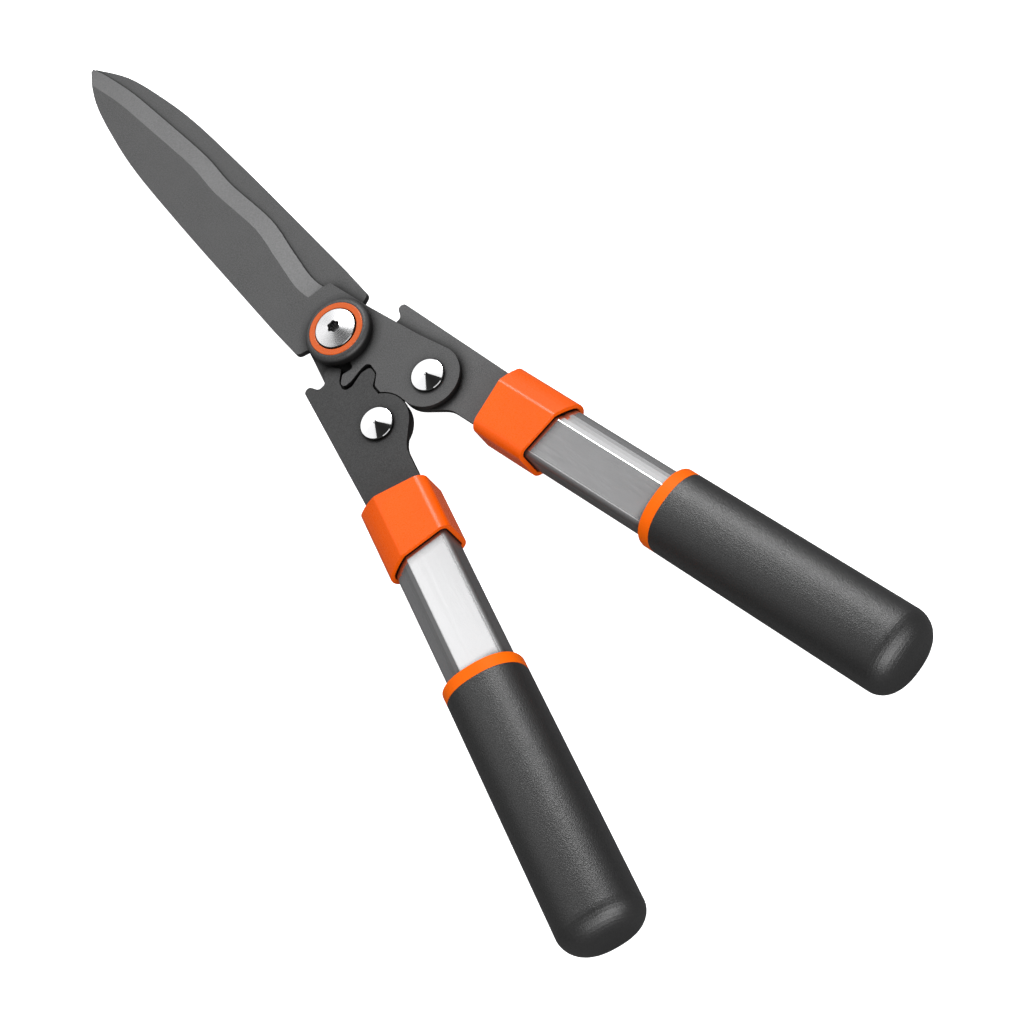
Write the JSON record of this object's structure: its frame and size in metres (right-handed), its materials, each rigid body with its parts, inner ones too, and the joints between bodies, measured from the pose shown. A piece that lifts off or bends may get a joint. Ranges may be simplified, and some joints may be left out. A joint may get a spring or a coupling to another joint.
{
  "type": "hedge shears",
  "caption": "Two-handed hedge shears with wavy bevelled blades, geared tails, flattened aluminium handle tubes and rubber grips.",
  "frame": {"origin": "on the pivot bolt's axis, midway between the two blades' sliding faces", "axes": "+Y from the pivot towards the blade tips, +Z along the pivot axis out of the bolt's head, +X to the right seen from the front with the tips up"},
  "size_m": [0.1947, 0.5421, 0.0346],
  "materials": {
    "front_blade": "fine grained dark coating, bare ground bevel",
    "rear_blade": "fine grained dark coating",
    "pivot_bush": "turned steel",
    "pivot_boss": "satin dark coating",
    "pivot_ring": "satin moulded plastic",
    "pivot_bolt": "polished, turned",
    "pivot_washer": "zinc plated",
    "pivot_nut": "zinc plated",
    "left_handle_pin": "polished, turned",
    "right_handle_pin": "polished, turned",
    "left_tang": "fine grained dark coating",
    "left_insert": "moulded plastic",
    "left_tang_rivets": "drawn steel",
    "left_tube": "brushed along its length",
    "left_collar": "satin moulded plastic",
    "left_grip_core": "satin moulded plastic",
    "left_grip": "soft, finely grained",
    "left_tube_plug": "moulded plastic",
    "right_tang": "fine grained dark coating",
    "right_insert": "moulded plastic",
    "right_tang_rivets": "drawn steel",
    "right_tube": "brushed along its length",
    "right_collar": "satin moulded plastic",
    "right_grip_core": "satin moulded plastic",
    "right_grip": "soft, finely grained",
    "right_tube_plug": "moulded plastic"
  },
  "bodies": {
    "rear_blade": {"rear_blade": "rear_blade", "pivot_bush": "pivot_bush", "pivot_boss": "pivot_boss", "pivot_ring": "pivot_ring", "pivot_bolt": "pivot_bolt", "pivot_washer": "pivot_washer", "pivot_nut": "pivot_nut", "left_handle_pin": "left_handle_pin"},
    "front_blade": {"front_blade": "front_blade", "right_handle_pin": "right_handle_pin"},
    "left_handle": {"left_tang": "left_tang", "left_insert": "left_insert", "left_tang_rivets": "left_tang_rivets", "left_tube": "left_tube", "left_collar": "left_collar", "left_grip_core": "left_grip_core", "left_grip": "left_grip", "left_tube_plug": "left_tube_plug"},
    "right_handle": {"right_tang": "right_tang", "right_insert": "right_insert", "right_tang_rivets": "right_tang_rivets", "right_tube": "right_tube", "right_collar": "right_collar", "right_grip_core": "right_grip_core", "right_grip": "right_grip", "right_tube_plug": "right_tube_plug"}
  },
  "joints": [
    {"name": "blade_open", "type": "hinge", "parent": "rear_blade", "child": "front_blade", "pos_m": [0, 0, 0], "axis": [0, 0, 1], "range_deg": [0, 40]},
    {"name": "left_handle_turn", "type": "hinge", "parent": "rear_blade", "child": "left_handle", "pos_m": [-0.0155, -0.05068, 0], "axis": [0, 0, 1], "range_deg": [-24, 0]},
    {"name": "right_handle_turn", "type": "hinge", "parent": "front_blade", "child": "right_handle", "pos_m": [0.0155, -0.05068, 0], "axis": [0, 0, 1], "range_deg": [0, 24]}
  ],
  "couplings": [
    {"joint": "left_handle_turn", "follows": "blade_open", "ratio": -0.6},
    {"joint": "right_handle_turn", "follows": "blade_open", "ratio": 0.6}
  ]
}
